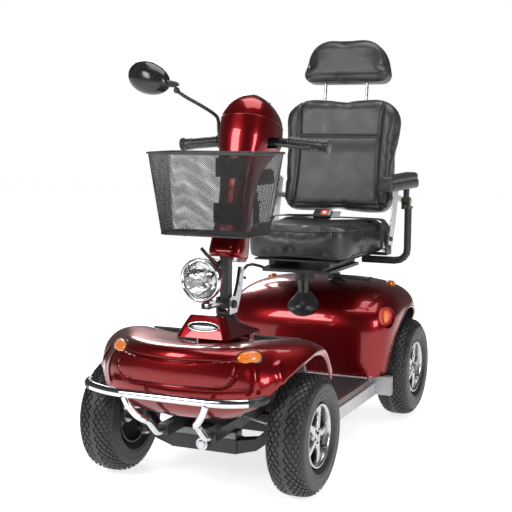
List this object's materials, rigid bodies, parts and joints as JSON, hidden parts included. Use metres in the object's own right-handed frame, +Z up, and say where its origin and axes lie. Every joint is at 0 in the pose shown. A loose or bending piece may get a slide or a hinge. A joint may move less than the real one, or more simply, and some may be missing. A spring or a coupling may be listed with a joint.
{
  "type": "mobility scooter",
  "caption": "Four-wheel seated mobility scooter with a tilting tiller, wire basket, headlamp, mirror, swivel captain's seat and full body panels.",
  "frame": {"origin": "on the ground under the centre of the scooter's bounding box", "axes": "+X to the driver's left, -Y forward (the bumper end), +Z up"},
  "size_m": [0.6878, 1.4808, 1.2987],
  "materials": {
    "frame_black": "satin powder coat",
    "rail_silver": "satin",
    "pan_brown": "moulded",
    "mat_rubber": "ribbed",
    "body_red": "deep candy red lacquer",
    "amber": "ribbed lens",
    "chrome_bar": "polished",
    "lamp_red": "lens",
    "battery_case": "moulded",
    "axle_metal": "cast",
    "steel_pin": "zinc plated",
    "tie_steel": "zinc plated",
    "boot_rubber": "smooth",
    "tyre_rubber": "block tread",
    "rim_alloy": "satin silver",
    "lamp_chrome": "polished",
    "lamp_glass": "clear",
    "dash_black": "fine grain",
    "grip_rubber": "ribbed",
    "control_black": "smooth",
    "horn_yellow": "smooth",
    "mirror_black": "fine grain",
    "wire_black": "black coated steel wire",
    "seat_leather": "grained leatherette",
    "arm_plastic": "soft moulded skin",
    "belt_web": "woven",
    "button_red": "smooth"
  },
  "bodies": {
    "chassis": {"main_frame": "frame_black", "side_rails": "rail_silver", "floor_pan": "pan_brown", "floor_mat": "mat_rubber", "front_fairing": "body_red", "tiller_cowl": "body_red", "indicator_lenses": "amber", "bumper_bar": "chrome_bar", "rear_shroud": "body_red", "tail_lamps": "lamp_red", "batteries": "battery_case", "transaxle": "axle_metal", "seat_post": "frame_black", "post_boots": "boot_rubber", "axle_beam": "frame_black", "axle_pins": "steel_pin"},
    "knuckle_l": {"knuckle_left": "frame_black"},
    "knuckle_r": {"knuckle_right": "frame_black"},
    "tie_l": {"tie_rod_left": "tie_steel"},
    "tie_r": {"tie_rod_right": "tie_steel"},
    "wheel_fl": {"tyre_front_left": "tyre_rubber", "rim_front_left": "rim_alloy"},
    "wheel_fr": {"tyre_front_right": "tyre_rubber", "rim_front_right": "rim_alloy"},
    "wheel_rl": {"tyre_rear_left": "tyre_rubber", "rim_rear_left": "rim_alloy"},
    "wheel_rr": {"tyre_rear_right": "tyre_rubber", "rim_rear_right": "rim_alloy"},
    "steering": {"steering_column": "frame_black"},
    "headlamp": {"headlamp_shell": "body_red", "headlamp_bezel": "lamp_chrome", "headlamp_lens": "lamp_glass"},
    "tiller": {"tiller_frame": "frame_black", "tiller_cover": "body_red", "tiller_cap": "body_red", "dash_panel": "dash_black", "handlebar": "frame_black", "grips": "grip_rubber", "basket_bracket": "frame_black"},
    "tilt_release": {"tilt_lever": "control_black"},
    "throttle": {"throttle_lever": "control_black"},
    "ignition_key": {"key": "steel_pin"},
    "dial": {"speed_dial": "control_black"},
    "horn": {"horn_button": "horn_yellow"},
    "mirror_stalk": {"mirror_arm": "frame_black"},
    "mirror": {"mirror_head": "mirror_black"},
    "basket_body": {"basket": "wire_black"},
    "seat_swivel_base": {"seat_base": "frame_black"},
    "swivel_release": {"swivel_lever": "control_black"},
    "slide_release": {"slide_lever": "control_black"},
    "seat": {"seat_frame": "frame_black", "seat_cushion": "seat_leather", "seat_belt": "belt_web"},
    "backrest": {"backrest_frame": "frame_black", "backrest_cushion": "seat_leather"},
    "headrest": {"headrest_posts": "chrome_bar", "headrest_cushion": "seat_leather"},
    "armrest_l": {"armrest_pad_left": "arm_plastic"},
    "armrest_r": {"armrest_pad_right": "arm_plastic"},
    "buckle": {"buckle_button": "button_red"}
  },
  "joints": [
    {"name": "column_steer", "type": "hinge", "parent": "chassis", "child": "steering", "pos_m": [0, -0.366, 0.3], "axis": [0, 0, 1], "range_deg": [-25, 25]},
    {"name": "steer_left", "type": "hinge", "parent": "chassis", "child": "knuckle_l", "pos_m": [0.205, -0.472, 0.16], "axis": [0, 0, 1], "range_deg": [-25, 25]},
    {"name": "steer_right", "type": "hinge", "parent": "chassis", "child": "knuckle_r", "pos_m": [-0.205, -0.472, 0.16], "axis": [0, 0, 1], "range_deg": [-25, 25]},
    {"name": "tie_left", "type": "hinge", "parent": "knuckle_l", "child": "tie_l", "pos_m": [0.218, -0.557, 0.207], "axis": [0, 0, 1], "range_deg": [-25, 25]},
    {"name": "tie_right", "type": "hinge", "parent": "knuckle_r", "child": "tie_r", "pos_m": [-0.218, -0.557, 0.207], "axis": [0, 0, 1], "range_deg": [-25, 25]},
    {"name": "spin_front_left", "type": "hinge", "parent": "knuckle_l", "child": "wheel_fl", "pos_m": [0.2815, -0.472, 0.165], "axis": [1, 0, 0], "continuous": true},
    {"name": "spin_front_right", "type": "hinge", "parent": "knuckle_r", "child": "wheel_fr", "pos_m": [-0.2815, -0.472, 0.165], "axis": [1, 0, 0], "continuous": true},
    {"name": "spin_rear_left", "type": "hinge", "parent": "chassis", "child": "wheel_rl", "pos_m": [0.2815, 0.472, 0.165], "axis": [1, 0, 0], "continuous": true},
    {"name": "spin_rear_right", "type": "hinge", "parent": "chassis", "child": "wheel_rr", "pos_m": [-0.2815, 0.472, 0.165], "axis": [1, 0, 0], "continuous": true},
    {"name": "headlamp_tilt", "type": "hinge", "parent": "steering", "child": "headlamp", "pos_m": [0, -0.492, 0.508], "axis": [1, 0, 0], "range_deg": [-12, 15]},
    {"name": "tiller_tilt", "type": "hinge", "parent": "steering", "child": "tiller", "pos_m": [0, -0.366, 0.485], "axis": [-1, 0, 0], "range_deg": [-8, 18]},
    {"name": "tilt_release_pull", "type": "hinge", "parent": "tiller", "child": "tilt_release", "pos_m": [-0.02, -0.37, 0.598], "axis": [1, 0, 0], "range_deg": [-12, 12], "stiffness_Nm_per_rad": 0.4},
    {"name": "throttle_swing", "type": "hinge", "parent": "tiller", "child": "throttle", "pos_m": [0, -0.218, 0.941], "axis": [0, 0.309, 0.9511], "range_deg": [-5.5, 5.5], "stiffness_Nm_per_rad": 1.5},
    {"name": "key_turn", "type": "hinge", "parent": "tiller", "child": "ignition_key", "pos_m": [0.022, -0.13179, 1.02772], "axis": [0, 0.8572, 0.515], "range_deg": [-90, 0]},
    {"name": "speed_dial_turn", "type": "hinge", "parent": "tiller", "child": "dial", "pos_m": [-0.004, -0.11341, 0.98743], "axis": [0, 0.8572, 0.515], "range_deg": [-135, 135]},
    {"name": "horn_press", "type": "slide", "parent": "tiller", "child": "horn", "axis": [0, -0.8572, -0.515], "range_m": [0, 0.003], "stiffness_N_per_m": 500},
    {"name": "mirror_stalk_swing", "type": "hinge", "parent": "tiller", "child": "mirror_stalk", "pos_m": [-0.1035, -0.176, 0.94], "axis": [1, 0, 0], "range_deg": [-20, 20]},
    {"name": "mirror_turn", "type": "hinge", "parent": "mirror_stalk", "child": "mirror", "pos_m": [-0.197, -0.287, 1.088], "axis": [0, 0, 1], "range_deg": [-15, 15]},
    {"name": "basket_lift", "type": "slide", "parent": "tiller", "child": "basket_body", "axis": [0, 0, 1], "range_m": [0, 0.08]},
    {"name": "seat_swivel", "type": "hinge", "parent": "chassis", "child": "seat_swivel_base", "pos_m": [0, 0.249, 0.5], "axis": [0, 0, 1], "range_deg": [-90, 90]},
    {"name": "swivel_release_pull", "type": "hinge", "parent": "seat_swivel_base", "child": "swivel_release", "pos_m": [-0.126, 0.214, 0.512], "axis": [0, 1, 0], "range_deg": [-2, 12], "stiffness_Nm_per_rad": 1},
    {"name": "slide_release_pull", "type": "hinge", "parent": "seat_swivel_base", "child": "slide_release", "pos_m": [0.104, 0.236, 0.497], "axis": [0, -1, 0], "range_deg": [-1, 8], "stiffness_Nm_per_rad": 2.5},
    {"name": "seat_slide", "type": "slide", "parent": "seat_swivel_base", "child": "seat", "axis": [0, 1, 0], "range_m": [-0.05, 0.05]},
    {"name": "backrest_fold", "type": "hinge", "parent": "seat", "child": "backrest", "pos_m": [0, 0.5, 0.6], "axis": [1, 0, 0], "range_deg": [-12, 49]},
    {"name": "headrest_height", "type": "slide", "parent": "backrest", "child": "headrest", "axis": [0, 0.1702, 0.9854], "range_m": [0, 0.05]},
    {"name": "armrest_left_flip", "type": "hinge", "parent": "seat", "child": "armrest_l", "pos_m": [0.284, 0.468, 0.735], "axis": [-1, 0, 0], "range_deg": [0, 85]},
    {"name": "armrest_right_flip", "type": "hinge", "parent": "seat", "child": "armrest_r", "pos_m": [-0.284, 0.468, 0.735], "axis": [-1, 0, 0], "range_deg": [0, 85]},
    {"name": "buckle_press", "type": "slide", "parent": "seat", "child": "buckle", "axis": [0, 0.5736, -0.8192], "range_m": [0, 0.0035], "stiffness_N_per_m": 300}
  ],
  "couplings": [
    {"joint": "steer_left", "follows": "column_steer", "ratio": 1},
    {"joint": "steer_right", "follows": "column_steer", "ratio": 1},
    {"joint": "tie_left", "follows": "column_steer", "ratio": -1},
    {"joint": "tie_right", "follows": "column_steer", "ratio": -1}
  ]
}
